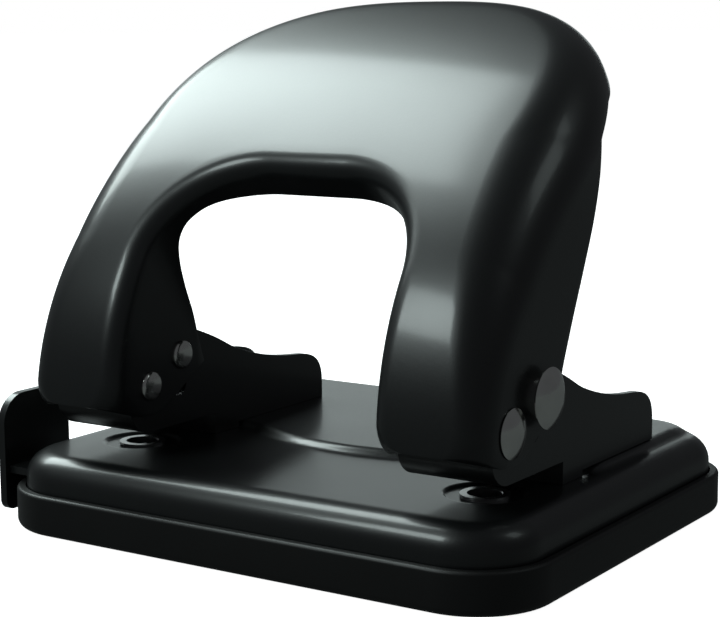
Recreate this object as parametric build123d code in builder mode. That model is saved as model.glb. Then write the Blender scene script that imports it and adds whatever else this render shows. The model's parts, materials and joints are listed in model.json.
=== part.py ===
"""Two-hole office punch: pressed handle, two punch units, base plate, chip tray and paper guide.

Millimetres. X runs across the punch, Y from front to back and Z up. The origin is the middle of
the chip tray's underside. The handle is at rest, up, with both punches clear of the paper slot.
"""

import os
from math import atan2, cos, radians, sin, sqrt

from build123d import *

# ---- Driving dimensions ----------------------------------------------------------------------
# Holes that the punch makes, after the filing standard
hole_spacing = 80.0
hole_radius = 3.0
hole_margin = 11.9  # from hole centre to the paper stop
hole_y = -24.0

# Chip tray
tray_width = 118.6
tray_depth = 99.4
tray_height = 8.1
tray_corner = 15.3
tray_wall = 1.7
tray_floor = 1.5
tray_foot_round = 1.7
tray_lip_round = 0.7
ledge_width = 1.6
ledge_height = 4.0

# Base plate, pressed from sheet
base_sheet = 1.2
base_top = 15.0
base_gap = 0.3  # skirt to tray wall
base_edge = 5.0
skirt_bottom = 4.1
plateau_rise = 1.2
plateau_half_width = 50.3
plateau_step_y = -3.5
plateau_rear_gap = 2.7
plateau_corner = 9.0
bulge_radius = 50.0
bulge_apex_y = -11.2
dimple_radius = 7.4
dimple_depth = 0.6

# Dies
die_wall = 1.6
die_clearance = 0.06
die_length = 4.6
die_relief = 0.5
die_land = 1.6
die_chamfer = 0.22

# Punch units
cheek_sheet = 1.6
bracket_width = 19.0
bracket_front_y = -38.6
bracket_rear_y = 26.6
bracket_top = 38.2
tail_fall_y = -19.0
tail_slope_y = -4.5
tail_slope_z = 32.0
tail_saddle_y = 6.0
tail_saddle_z = 28.9
tail_hump_y = 16.6
tail_hump_z = 27.3
tail_rear_height = 4.0
slot_height = 4.4
nose_round = 6.0
stop_foot_length = 8.0
rear_foot_length = 10.0
rivet_radius = 1.6
rivet_head_radius = 3.0
rivet_head_height = 1.1
bush_wall = 1.3
bush_clearance = 0.4  # under the washer with the handle fully down

# Lever: the drive pin swings about the pivot pin
lever = 10.9
lever_rest_angle = 25.6
lever_swing = 34.0
pivot_z = 29.1
pivot_radius = 2.5
drive_radius = 2.0
pin_clearance = 0.08
arc_slot_clearance = 0.3
head_slot_clearance = 0.22

# Pin ends
pin_tail_radius = 2.85
pin_tail_length = 1.1
pivot_head_radius = 4.5
pivot_head_height = 1.4
collar_radius = 3.5
collar_length = 1.8
drive_head_radius = 5.5
drive_head_height = 1.9

# Punches and their springs
punch_head_radius = 5.0
punch_head_wall = 1.8
punch_head_chamfer = 0.6
punch_tip_rest = 0.4  # above the slot's ceiling
punch_running_gap = 0.05
tip_hollow_radius = 6.0
washer_radius = 6.2
washer_sheet = 0.8
spring_radius = 5.2
spring_wire = 0.7
spring_turns = 2.25

# Handle, pressed from sheet
handle_sheet = 1.5
flange_gap = 0.2
foot_y = -45.5
foot_z = 26.0
rise_z = 53.3  # the front is upright at the foot
bend_y = -25.6
bend_z = 80.7
crown_y = 32.4
crown_z = 108.0
arch_lean = 50.0
arch_shoulder = 40.0
arch_top = 87.2
arch_corner = 34.0
opening_top = 28.6
opening_corner = 20.5
outer_edge = 5.0
inner_edge = 3.4
heel_y = -17.5
heel_z = 31.5
flange_shoulder_y = -0.3
flange_shoulder_z = 72.0
flange_bend_y = 4.4
flange_bend_z = 82.0
top_flange_depth = 11.2
inner_heel_y = -19.3
inner_heel_z = 37.0
inner_flange_y = -26.7
inner_flange_z = 56.5
inner_bend_y = -23.9
inner_bend_z = 63.2
inner_crown_y = -17.9
inner_crown_z = 65.8
heel_run_y = 0.4
heel_run_z = 3.0
boss_drop = 5.8  # of the lower edge below the pivot
boss_front = 3.15
boss_rear = 3.8

# Paper guide
guide_width = 8.0
guide_sheet = 1.5
guide_z = 9.0
guide_setback = 13.1  # from hole centre towards the front
guide_reach = 113.0
guide_play = 0.3
guide_travel = 88.2
stop_plate_gap = 1.1
stop_plate_sheet = 1.7
stop_plate_front_y = -42.5
stop_plate_rear_y = -23.6
stop_plate_bottom = 1.5
stop_plate_top = 25.0
stop_plate_round = 6.0
channel_length = 7.0
channel_wall = 0.8
stop_rivet_radius = 1.5
stop_head_radius = 2.4
stop_rivet_height = 2.0
spring_leaf = 0.3
leaf_gap = 0.1
stop_clearance = 0.2

# ---- Worked-out sizes and places -------------------------------------------------------------
tray_inset = tray_wall + base_gap
base_width = tray_width - 2 * tray_inset
base_depth = tray_depth - 2 * tray_inset
base_corner = tray_corner - tray_inset
plateau_top = base_top + plateau_rise
slot_top = base_top + slot_height
stop_y = hole_y + hole_margin
guide_y = hole_y - guide_setback

rest = radians(lever_rest_angle)
pressed = radians(lever_rest_angle - lever_swing)
pivot_y = hole_y - lever * (1 + cos(rest)) / 2
drive_y = pivot_y + lever * cos(rest)
drive_z = pivot_z + lever * sin(rest)
punch_travel = lever * (sin(rest) - sin(pressed))

bracket_half = bracket_width / 2
cheek_inside = bracket_half - cheek_sheet
flange_inside = bracket_half + flange_gap
flange_outside = flange_inside + handle_sheet
handle_half_width = hole_spacing / 2 + flange_outside
opening_half_width = hole_spacing / 2 - flange_outside

guide_plate_top = slot_top + cheek_sheet
head_slot_half = drive_radius + head_slot_clearance
head_bottom = drive_z - head_slot_half - punch_head_wall
head_top = drive_z + head_slot_half + punch_head_wall
washer_bottom = head_bottom - washer_sheet
bush_top = washer_bottom - punch_travel - bush_clearance
bush_radius = hole_radius + bush_wall
die_radius = hole_radius + die_wall
sides = {"left": -hole_spacing / 2, "right": hole_spacing / 2}

os.makedirs("parts", exist_ok=True)


def save(piece, name):
    """Label a finished piece with its node name and write it out."""
    piece.label = name
    export_step(piece, f"parts/{name}.step")


def side_plane(x):
    """The YZ plane at x, seen from the right: sketch X is row Y and sketch Y is row Z."""
    return Plane.YZ.offset(x)


def turned(points):
    """Revolve a closed (radius, height) outline about Z, standing on the origin."""
    with BuildPart() as body:
        with BuildSketch(Plane.XZ):
            with BuildLine():
                Polyline(*points, close=True)
            make_face()
        revolve(axis=Axis.Z)
    return body.part


# ---- Chip tray -------------------------------------------------------------------------------
with BuildPart() as chip_tray:
    with BuildSketch(Plane.XY):
        RectangleRounded(tray_width, tray_depth, tray_corner)
    extrude(amount=tray_height)
    fillet(chip_tray.edges().group_by(Axis.Z)[0], tray_foot_round)
    fillet(chip_tray.edges().group_by(Axis.Z)[-1], tray_lip_round)
    with BuildSketch(Plane.XY.offset(ledge_height)):
        RectangleRounded(
            tray_width - 2 * tray_wall,
            tray_depth - 2 * tray_wall,
            tray_corner - tray_wall,
        )
    extrude(amount=tray_height, mode=Mode.SUBTRACT)
    ledge_inset = tray_wall + ledge_width
    with BuildSketch(Plane.XY.offset(tray_floor)):
        RectangleRounded(
            tray_width - 2 * ledge_inset,
            tray_depth - 2 * ledge_inset,
            tray_corner - ledge_inset,
        )
    extrude(amount=tray_height, mode=Mode.SUBTRACT)
save(chip_tray.part, "chip_tray")


# ---- Base plate ------------------------------------------------------------------------------
def pressed_base(inset):
    """The base plate's outer form, drawn in by inset on its sides and its top."""
    rear_y = base_depth / 2 - plateau_rear_gap
    bulge_centre_y = bulge_apex_y + bulge_radius
    bulge_half = sqrt(bulge_radius**2 - (bulge_centre_y - plateau_step_y) ** 2)
    with BuildPart() as form:
        with BuildSketch(Plane.XY.offset(skirt_bottom)):
            RectangleRounded(base_width - 2 * inset, base_depth - 2 * inset, base_corner - inset)
        extrude(amount=base_top - inset - skirt_bottom)
        fillet(form.edges().group_by(Axis.Z)[-1], base_edge - inset)
        with BuildSketch(Plane.XY.offset(skirt_bottom + base_edge)) as plateau:
            with BuildLine():
                start = (bulge_half, plateau_step_y)
                end = (-bulge_half, plateau_step_y)
                ThreePointArc(start, (0, bulge_apex_y), end)
                Polyline(
                    end,
                    (-plateau_half_width, plateau_step_y),
                    (-plateau_half_width, rear_y),
                    (plateau_half_width, rear_y),
                    (plateau_half_width, plateau_step_y),
                    start,
                )
            make_face()
            fillet(plateau.vertices().group_by(Axis.Y)[-1], plateau_corner)
            if inset:
                offset(amount=-inset, kind=Kind.INTERSECTION, mode=Mode.REPLACE)
        extrude(amount=plateau_top - inset - skirt_bottom - base_edge)
    return form.part


with BuildPart() as base_plate:
    add(pressed_base(0))
    add(pressed_base(base_sheet), mode=Mode.SUBTRACT)
    # Dimples round the dies, pressed through the sheet
    for x in sides.values():
        with BuildSketch(Plane.XY.offset(base_top - base_sheet - dimple_depth)):
            with Locations((x, hole_y)):
                Circle(dimple_radius + base_sheet / 2)
        extrude(amount=base_sheet + dimple_depth)
    with BuildSketch(Plane.XY.offset(base_top - dimple_depth)):
        with Locations(*[(x, hole_y) for x in sides.values()]):
            Circle(dimple_radius)
            Circle(die_radius, mode=Mode.SUBTRACT)
    extrude(amount=dimple_depth, mode=Mode.SUBTRACT)
    # Die holes
    with BuildSketch(Plane.XY.offset(skirt_bottom)):
        with Locations(*[(x, hole_y) for x in sides.values()]):
            Circle(die_radius)
    extrude(amount=base_top, mode=Mode.SUBTRACT)
    # Rivet holes for the brackets' feet
    front_rivet_y = stop_y + stop_foot_length / 2 + cheek_sheet / 2
    rear_rivet_y = bracket_rear_y - rear_foot_length / 2
    with BuildSketch(Plane.XY.offset(skirt_bottom)):
        for x in sides.values():
            with Locations((x, front_rivet_y), (x, rear_rivet_y)):
                Circle(rivet_radius)
    extrude(amount=plateau_top, mode=Mode.SUBTRACT)
    # Slot in the left skirt for the paper guide
    with BuildSketch(side_plane(-base_width / 2 + base_edge)):
        with Locations((guide_y, guide_z + guide_sheet / 2)):
            Rectangle(guide_width + 2 * guide_play, guide_sheet + 2 * guide_play)
    extrude(amount=-2 * base_edge, mode=Mode.SUBTRACT)
save(base_plate.part, "base_plate")

# ---- Die bushes ------------------------------------------------------------------------------
die_bore = hole_radius + die_clearance
for side, x in sides.items():
    with BuildPart() as die_bush:
        with Locations((x, hole_y, base_top - die_length)):
            add(
                turned(
                    [
                        (die_bore + die_relief, 0),
                        (die_radius, 0),
                        (die_radius, die_length),
                        (die_bore + die_chamfer, die_length),
                        (die_bore, die_length - die_chamfer),
                        (die_bore, die_length - die_land),
                        (die_bore + die_relief, die_length - die_land - die_relief),
                    ]
                )
            )
    save(die_bush.part, f"die_bush_{side}")


# ---- Brackets --------------------------------------------------------------------------------
def bracket_outline(inset):
    """Side view of a bracket: inset 0 gives the cheeks, one sheet in gives the space between."""
    front = bracket_front_y + inset
    ceiling = slot_top + inset
    wall_y = stop_y + inset
    round_in = nose_round - inset
    top = bracket_top + inset
    rear = bracket_rear_y + inset
    step_y = plateau_step_y - base_sheet / 2
    corner = round_in * (1 - 1 / sqrt(2))
    top_corner = nose_round * (1 - 1 / sqrt(2))
    tail_end = plateau_top + tail_rear_height
    with BuildSketch() as outline:
        with BuildLine():
            Line((front, top - nose_round), (front, ceiling + round_in))
            ThreePointArc(
                (front, ceiling + round_in),
                (front + corner, ceiling + corner),
                (front + round_in, ceiling),
            )
            Polyline(
                (front + round_in, ceiling),
                (wall_y, ceiling),
                (wall_y, base_top + inset),
                (step_y, base_top + inset),
                (step_y, plateau_top + inset),
                (rear, plateau_top + inset),
                (rear, tail_end),
            )
            Spline(
                (rear, tail_end),
                (tail_hump_y, tail_hump_z + inset),
                (tail_saddle_y, tail_saddle_z + inset),
                (tail_slope_y, tail_slope_z + inset),
                (tail_fall_y, top),
                tangents=[(0, 1), (-1, 0.35)],
            )
            Line((tail_fall_y, top), (front + nose_round, top))
            ThreePointArc(
                (front + nose_round, top),
                (front + top_corner, top - top_corner),
                (front, top - nose_round),
            )
        make_face()
    return outline.sketch


swing_path = CenterArc((pivot_y, pivot_z), lever, lever_rest_angle - lever_swing, lever_swing)
for side, x in sides.items():
    with BuildPart() as bracket:
        with BuildSketch(side_plane(x)):
            add(bracket_outline(0))
        extrude(amount=bracket_half, both=True)
        with BuildSketch(side_plane(x)):
            add(bracket_outline(cheek_sheet))
        extrude(amount=cheek_inside, both=True, mode=Mode.SUBTRACT)
        # Open floor between the front foot and the rear foot
        floor_front = stop_y + stop_foot_length
        floor_rear = bracket_rear_y - rear_foot_length
        with BuildSketch(Plane.XY.offset(base_top)):
            with Locations((x, (floor_front + floor_rear) / 2)):
                Rectangle(2 * cheek_inside, floor_rear - floor_front)
        extrude(amount=plateau_rise + 2 * cheek_sheet, mode=Mode.SUBTRACT)
        # Punch guide hole
        with BuildSketch(Plane.XY.offset(slot_top)):
            with Locations((x, hole_y)):
                Circle(bush_radius)
        extrude(amount=cheek_sheet, mode=Mode.SUBTRACT)
        # Rivet holes in both feet
        with BuildSketch(Plane.XY.offset(base_top)):
            with Locations((x, front_rivet_y), (x, rear_rivet_y)):
                Circle(rivet_radius)
        extrude(amount=plateau_rise + cheek_sheet, mode=Mode.SUBTRACT)
        # Pivot hole and the drive pin's arc slot through both cheeks
        with BuildSketch(side_plane(x)):
            with Locations((pivot_y, pivot_z)):
                Circle(pivot_radius)
            SlotArc(swing_path, height=2 * (drive_radius + arc_slot_clearance))
        extrude(amount=bracket_half, both=True, mode=Mode.SUBTRACT)
    save(bracket.part, f"bracket_{side}")

# ---- Rivets that hold the brackets down ------------------------------------------------------
rivet_ends = [(front_rivet_y, base_top), (rear_rivet_y, plateau_top)]
with BuildPart() as bracket_rivets:
    for x in sides.values():
        for y, floor_z in rivet_ends:
            foot_top = floor_z + cheek_sheet
            underside = floor_z - base_sheet
            with Locations((x, y, underside)):
                add(
                    turned(
                        [
                            (0, -rivet_head_height),
                            (rivet_head_radius, -rivet_head_height),
                            (rivet_head_radius, 0),
                            (rivet_radius, 0),
                            (rivet_radius, foot_top - underside),
                            (rivet_head_radius, foot_top - underside),
                            (rivet_head_radius, foot_top - underside + rivet_head_height / 2),
                            (rivet_radius, foot_top - underside + rivet_head_height),
                            (0, foot_top - underside + rivet_head_height),
                        ]
                    )
                )
save(bracket_rivets.part, "bracket_rivets")

# ---- Punch guide bushes ----------------------------------------------------------------------
bush_bore = hole_radius + punch_running_gap
for side, x in sides.items():
    with BuildPart() as guide_bush:
        with BuildSketch(Plane.XY.offset(slot_top)):
            with Locations((x, hole_y)):
                Circle(bush_radius)
                Circle(bush_bore, mode=Mode.SUBTRACT)
        extrude(amount=bush_top - slot_top)
    save(guide_bush.part, f"guide_bush_{side}")

# ---- Punches, washers and return springs -----------------------------------------------------
tip_z = slot_top + punch_tip_rest
drift_back = drive_y - hole_y
drift_front = pivot_y + lever - hole_y
head_slot_length = 2 * (max(abs(drift_back), abs(drift_front)) + head_slot_half)
for side, x in sides.items():
    with BuildPart() as punch:
        with BuildSketch(Plane.XY.offset(tip_z)):
            with Locations((x, hole_y)):
                Circle(hole_radius)
        extrude(amount=head_top - tip_z)
        with BuildSketch(Plane.XY.offset(head_bottom)):
            with Locations((x, hole_y)):
                Circle(punch_head_radius)
        extrude(amount=head_top - head_bottom)
        chamfer(punch.edges().group_by(Axis.Z)[-1], punch_head_chamfer)
        # Hollow across the tip, so that the cut starts at two points
        with BuildSketch(side_plane(x)):
            with Locations((hole_y, tip_z - sqrt(tip_hollow_radius**2 - hole_radius**2))):
                Circle(tip_hollow_radius)
        extrude(amount=punch_head_radius, both=True, mode=Mode.SUBTRACT)
        # Cross slot for the drive pin
        with BuildSketch(side_plane(x)):
            with Locations((hole_y, drive_z)):
                SlotOverall(head_slot_length, 2 * head_slot_half)
        extrude(amount=punch_head_radius, both=True, mode=Mode.SUBTRACT)
    save(punch.part, f"punch_{side}")

    with BuildPart() as spring_washer:
        with BuildSketch(Plane.XY.offset(washer_bottom)):
            with Locations((x, hole_y)):
                Circle(washer_radius)
                Circle(hole_radius, mode=Mode.SUBTRACT)
        extrude(amount=washer_sheet)
    save(spring_washer.part, f"spring_washer_{side}")

    spring_low = guide_plate_top + spring_wire / 2
    spring_high = washer_bottom - spring_wire / 2
    spring_length = spring_high - spring_low
    with BuildPart() as return_spring:
        with BuildLine(Plane((x, hole_y, spring_low))):
            coil = Helix(spring_length / spring_turns, spring_length, spring_radius)
        with BuildSketch(Plane(coil @ 0, z_dir=coil % 0)):
            Circle(spring_wire / 2)
        sweep(path=coil, is_frenet=True)
    save(return_spring.part, f"return_spring_{side}")


# ---- Pivot pins and drive pins ---------------------------------------------------------------
def cross_pin(outline, x, outwards, y, z):
    """Turn an outline about X: heights run outwards from the bracket's middle plane."""
    plane = Plane(origin=(x, y, z), x_dir=(0, 1, 0), z_dir=(outwards, 0, 0))
    return plane.location * turned(outline)


def dome(radius, start, height):
    """Points of a low domed head on a pin, from its rim to its middle."""
    return [
        (radius, start),
        (radius, start + 0.3 * height),
        (0.92 * radius, start + 0.62 * height),
        (0.62 * radius, start + 0.9 * height),
        (0, start + height),
    ]


def tail(radius, shank, start, height):
    """Points of an upset end, from its middle to the shank."""
    return [
        (0, -start - height),
        (0.7 * radius, -start - height),
        (radius, -start - 0.6 * height),
        (radius, -start),
        (shank, -start),
    ]


for side, x in sides.items():
    outwards = 1 if x > 0 else -1
    pivot_outline = [
        *tail(pin_tail_radius, pivot_radius, flange_outside + pin_clearance, pin_tail_length),
        (pivot_radius, flange_outside + pin_clearance),
        *dome(pivot_head_radius, flange_outside + pin_clearance, pivot_head_height),
    ]
    with BuildPart() as pivot_pin:
        add(cross_pin(pivot_outline, x, outwards, pivot_y, pivot_z))
    save(pivot_pin.part, f"pivot_pin_{side}")

    drive_outline = [
        *tail(pin_tail_radius, drive_radius, flange_outside, pin_tail_length),
        (drive_radius, flange_outside),
        (collar_radius, flange_outside),
        (collar_radius, flange_outside + collar_length),
        *dome(drive_head_radius, flange_outside + collar_length, drive_head_height),
    ]
    with BuildPart() as drive_pin:
        add(cross_pin(drive_outline, x, outwards, drive_y, drive_z))
    save(drive_pin.part, f"drive_pin_{side}")

# ---- Handle ----------------------------------------------------------------------------------
lean = radians(arch_lean)
arch_plane = Plane(origin=(0, 0, 0), x_dir=(1, 0, 0), z_dir=(0, -cos(lean), sin(lean)))
reach = 200.0  # past every side of the handle
leg_end = -60.0  # along the leaning plane, below both feet


def arch_face(half_width, top, corner):
    """A three-centred arch on straight legs, in the leaning plane."""
    corner_x = half_width - corner
    rise = top - arch_shoulder
    top_radius = (corner_x**2 + rise**2 - corner**2) / (2 * (rise - corner))
    top_centre = top - top_radius
    turn = atan2(arch_shoulder - top_centre, corner_x)
    joint = (top_radius * cos(turn), top_centre + top_radius * sin(turn))
    middle = (corner_x + corner * cos(turn / 2), arch_shoulder + corner * sin(turn / 2))
    shoulder = (half_width, arch_shoulder)
    with BuildSketch() as outline:
        with BuildLine():
            Polyline(
                (-half_width, arch_shoulder),
                (-half_width, leg_end),
                (half_width, leg_end),
                shoulder,
            )
            ThreePointArc(shoulder, middle, joint)
            ThreePointArc(joint, (0, top), (-joint[0], joint[1]))
            ThreePointArc((-joint[0], joint[1]), (-middle[0], middle[1]), (-half_width, arch_shoulder))
        make_face()
    return outline.sketch


def opening_face(half_width, top, corner):
    """The hand opening: straight sides with rounded upper corners, open below."""
    with BuildSketch() as outline:
        with Locations((0, (top + leg_end) / 2)):
            Rectangle(2 * half_width, top - leg_end)
        fillet(outline.vertices().group_by(Axis.Y)[-1], corner)
    return outline.sketch


def front_curve(inset):
    """Control points of the handle's front seen from the side, moved in by inset."""
    points = [(foot_y, foot_z), (foot_y, rise_z), (bend_y, bend_z), (crown_y, crown_z)]
    turns = [atan2(z1 - z0, y1 - y0) for (y0, z0), (y1, z1) in zip(points, points[1:])]
    moved = []
    for i, (y, z) in enumerate(points):
        before = turns[max(i - 1, 0)]
        after = turns[min(i, len(turns) - 1)]
        shift = inset / cos((before - after) / 2)
        square = (before + after) / 2
        moved.append((y + shift * sin(square), z - shift * cos(square)))
    return moved


def side_face():
    """Side view of the handle, from its front to its outer flanges' rear edges."""
    front = front_curve(0)
    back = front_curve(top_flange_depth)[-1]
    shoulder = (flange_shoulder_y, flange_shoulder_z)
    heel = (heel_y, heel_z)
    heel_end = (heel_y + heel_run_y, heel_z + heel_run_z)
    boss_back = (pivot_y + boss_rear, pivot_z - boss_drop)
    boss_fore = (pivot_y - boss_front, pivot_z - boss_drop)
    with BuildSketch() as outline:
        with BuildLine():
            Bezier(*front)
            Line(front[-1], back)
            Bezier(back, (flange_bend_y, flange_bend_z), shoulder)
            Polyline(shoulder, heel_end, heel, boss_back, boss_fore, front[0])
        make_face()
    return outline.sketch


def hollow_side_face():
    """Side view of the space behind the handle's sheet, open below and behind."""
    front = front_curve(handle_sheet)
    foot, crown = front[0], front[-1]
    with BuildSketch() as outline:
        with BuildLine():
            Bezier(*front)
            Polyline(crown, (reach, crown[1]), (reach, -reach), (foot[0], -reach), foot)
        make_face()
    return outline.sketch


def rim_edges(form, inset, round_opening):
    """Edges of the front face along the hand opening, or along the outer outline."""
    front_face = form.faces().filter_by(GeomType.EXTRUSION).sort_by(SortBy.AREA)[-1]
    chosen = []
    for edge in front_face.edges():
        spot = edge.center()
        height = spot.Y * sin(lean) + spot.Z * cos(lean)
        inside = abs(spot.X) < opening_half_width + inset + 1 and height < opening_top + inset + 1
        if spot.Z > foot_z + 1 and inside == round_opening:
            chosen.append(edge)
    return chosen


def pressed_arch(inset, side_view):
    """The handle's outer form (inset 0) or the hollow behind its sheet (inset one sheet)."""
    half_width = handle_half_width - inset
    with BuildPart() as form:
        with BuildSketch(arch_plane):
            add(arch_face(half_width, arch_top - inset, arch_corner - inset))
            add(
                opening_face(opening_half_width + inset, opening_top + inset, opening_corner + inset),
                mode=Mode.SUBTRACT,
            )
        extrude(amount=reach, both=True)
        with BuildSketch(side_plane(-half_width - 1)):
            add(side_view)
        extrude(amount=2 * half_width + 2, mode=Mode.INTERSECT)
        fillet(rim_edges(form, inset, False), outer_edge - inset)
        fillet(rim_edges(form, inset, True), inner_edge - inset)
    return form.part


def inner_trim_face():
    """Side view of what is cut away behind the flanges along the hand opening."""
    start = (inner_flange_y, inner_flange_z)
    crown = (inner_crown_y, inner_crown_z)
    along = (sin(lean), cos(lean))
    past = (crown[0] + 4 * handle_sheet * along[0], crown[1] + 4 * handle_sheet * along[1])
    with BuildSketch() as outline:
        with BuildLine():
            Polyline((heel_y, 0), (heel_y, heel_z), (inner_heel_y, inner_heel_z), start)
            ThreePointArc(start, (inner_bend_y, inner_bend_z), crown)
            Polyline(crown, past, (reach, inner_flange_z), (reach, 0), (heel_y, 0))
        make_face()
    return outline.sketch


with BuildPart() as handle:
    add(pressed_arch(0, side_face()))
    add(pressed_arch(handle_sheet, hollow_side_face()), mode=Mode.SUBTRACT)
    # Flanges along the hand opening stop short of the outer ones
    trim_half_width = opening_half_width + 2 * handle_sheet
    with BuildSketch(side_plane(-trim_half_width)):
        add(inner_trim_face())
    extrude(amount=2 * trim_half_width, mode=Mode.SUBTRACT)
    # Holes for the pivot pins and the drive pins
    with BuildSketch(side_plane(-handle_half_width - 1)):
        with Locations((pivot_y, pivot_z)):
            Circle(pivot_radius + pin_clearance)
        with Locations((drive_y, drive_z)):
            Circle(drive_radius)
    extrude(amount=2 * handle_half_width + 2, mode=Mode.SUBTRACT)
save(handle.part, "handle")

# ---- Paper guide -----------------------------------------------------------------------------
stop_plate_x = -tray_width / 2 - stop_plate_gap
plate_middle_y = (stop_plate_front_y + stop_plate_rear_y) / 2
guide_end_x = stop_plate_x + guide_reach
stop_rivet_x = guide_end_x - 2 * stop_rivet_radius
with BuildPart() as paper_guide:
    # Stop plate, then the bar folded back from it into the base
    with BuildSketch(side_plane(stop_plate_x)) as plate:
        with Locations((plate_middle_y, (stop_plate_bottom + stop_plate_top) / 2)):
            Rectangle(stop_plate_rear_y - stop_plate_front_y, stop_plate_top - stop_plate_bottom)
        fillet(plate.vertices().group_by(Axis.Y)[-1], stop_plate_round)
        fillet(plate.vertices().group_by(Axis.Y)[0], stop_plate_round / 3)
    extrude(amount=-stop_plate_sheet)
    with BuildSketch(Plane.XY.offset(guide_z)) as bar:
        with Locations((stop_plate_x + guide_reach / 2, guide_y)):
            Rectangle(guide_reach, guide_width)
        fillet(bar.vertices().group_by(Axis.X)[-1], guide_width / 4)
    extrude(amount=guide_sheet)
    with BuildSketch(Plane.XY.offset(guide_z)):
        with Locations((stop_rivet_x, guide_y)):
            Circle(stop_rivet_radius)
    extrude(amount=guide_sheet, mode=Mode.SUBTRACT)
save(paper_guide.part, "paper_guide")

# Rivet near the bar's inner end, which meets the channel when the guide is fully out
with BuildPart() as guide_stop_rivet:
    with Locations((stop_rivet_x, guide_y, guide_z)):
        add(
            turned(
                [
                    (0, 0),
                    (stop_rivet_radius, 0),
                    (stop_rivet_radius, guide_sheet),
                    (stop_head_radius, guide_sheet),
                    (stop_head_radius, guide_sheet + 0.6 * stop_rivet_height),
                    (0.5 * stop_head_radius, guide_sheet + stop_rivet_height),
                    (0, guide_sheet + stop_rivet_height),
                ]
            )
        )
save(guide_stop_rivet.part, "guide_stop_rivet")

# ---- Channel and leaf spring that hold the guide bar under the base plate --------------------
channel_end_x = stop_rivet_x - stop_head_radius - guide_travel - stop_clearance
base_underside = base_top - base_sheet
channel_width = guide_width + 2 * guide_play
channel_depth = base_underside - guide_z + guide_play
with BuildPart() as guide_channel:
    with BuildSketch(side_plane(channel_end_x - channel_length)):
        with Locations((guide_y, base_underside - (channel_depth + channel_wall) / 2)):
            Rectangle(channel_width + 2 * channel_wall, channel_depth + channel_wall)
        with Locations((guide_y, base_underside - channel_depth / 2)):
            Rectangle(channel_width, channel_depth, mode=Mode.SUBTRACT)
    extrude(amount=channel_length)
save(guide_channel.part, "guide_channel")

with BuildPart() as guide_spring:
    with BuildSketch(Plane.XZ.offset(-guide_y - guide_width / 3)) as leaf:
        with BuildLine():
            low_z = guide_z + guide_sheet + leaf_gap
            spring_start = (channel_end_x - channel_length, base_underside - spring_leaf)
            spring_dip = (channel_end_x - channel_length / 2, low_z)
            spring_end = (channel_end_x, base_underside - spring_leaf)
            ThreePointArc(spring_start, spring_dip, spring_end)
            Line(spring_end, (channel_end_x, base_underside))
            ThreePointArc(
                (channel_end_x, base_underside),
                (spring_dip[0], low_z + spring_leaf),
                (spring_start[0], base_underside),
            )
            Line((spring_start[0], base_underside), spring_start)
        make_face()
    extrude(amount=2 * guide_width / 3)
save(guide_spring.part, "guide_spring")
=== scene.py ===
"""Looks for the two-hole office punch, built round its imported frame.

Sizes are in millimetres until a mesh is made. X runs across the punch, Y to the back and Z up.
"""

import functools
import json
import math

import bmesh
import bpy
import numpy as np
from mathutils import Matrix, Vector

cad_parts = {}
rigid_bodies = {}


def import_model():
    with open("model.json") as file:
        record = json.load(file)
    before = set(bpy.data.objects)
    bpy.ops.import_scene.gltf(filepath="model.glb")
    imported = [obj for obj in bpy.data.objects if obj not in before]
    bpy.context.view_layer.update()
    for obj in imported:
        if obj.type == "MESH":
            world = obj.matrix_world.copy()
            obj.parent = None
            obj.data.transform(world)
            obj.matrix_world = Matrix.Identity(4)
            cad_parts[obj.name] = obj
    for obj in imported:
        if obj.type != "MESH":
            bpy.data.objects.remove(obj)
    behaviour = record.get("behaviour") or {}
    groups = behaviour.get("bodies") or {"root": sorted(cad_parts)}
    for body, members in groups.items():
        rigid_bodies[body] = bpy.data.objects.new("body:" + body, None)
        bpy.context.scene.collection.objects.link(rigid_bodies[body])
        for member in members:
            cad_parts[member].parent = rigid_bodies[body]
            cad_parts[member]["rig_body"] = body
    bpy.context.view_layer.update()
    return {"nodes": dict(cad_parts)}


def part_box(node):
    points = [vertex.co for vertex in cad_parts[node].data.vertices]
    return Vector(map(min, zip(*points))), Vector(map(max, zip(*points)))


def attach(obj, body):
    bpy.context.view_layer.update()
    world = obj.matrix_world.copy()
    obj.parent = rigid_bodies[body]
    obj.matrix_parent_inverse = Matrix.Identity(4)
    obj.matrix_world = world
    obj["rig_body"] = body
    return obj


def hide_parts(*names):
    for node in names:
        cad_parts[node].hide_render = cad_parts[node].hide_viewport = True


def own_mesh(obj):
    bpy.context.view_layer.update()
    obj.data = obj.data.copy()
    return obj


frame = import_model()
nodes = frame["nodes"]
MM = 0.001
SIDES = ("left", "right")


@functools.cache
def box(node):
    """Lowest and highest corner of a node, in millimetres."""
    low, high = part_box(node)
    return low / MM, high / MM


def middle(node):
    """Middle of a node's box, in millimetres."""
    low, high = box(node)
    return (low + high) / 2


# ---- Shader maths ------------------------------------------------------------------------------
class Value:
    """A socket that carries one number, with Python's operators on it."""

    def __init__(self, paint, socket):
        self.paint = paint
        self.socket = socket

    def _math(self, operation, *others):
        return self.paint.number("ShaderNodeMath", {"operation": operation}, self, *others)

    def __add__(self, other):
        return self._math("ADD", other)

    __radd__ = __add__

    def __mul__(self, other):
        return self._math("MULTIPLY", other)

    __rmul__ = __mul__

    def __sub__(self, other):
        return self._math("SUBTRACT", other)

    def __rsub__(self, other):
        return self * -1 + other

    def between(self, low, high):
        """0 below low, 1 above high and a smooth step from one to the other."""
        settings = {"interpolation_type": "SMOOTHSTEP"}
        return self.paint.number("ShaderNodeMapRange", settings, self, low, high, 0.0, 1.0)


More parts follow.
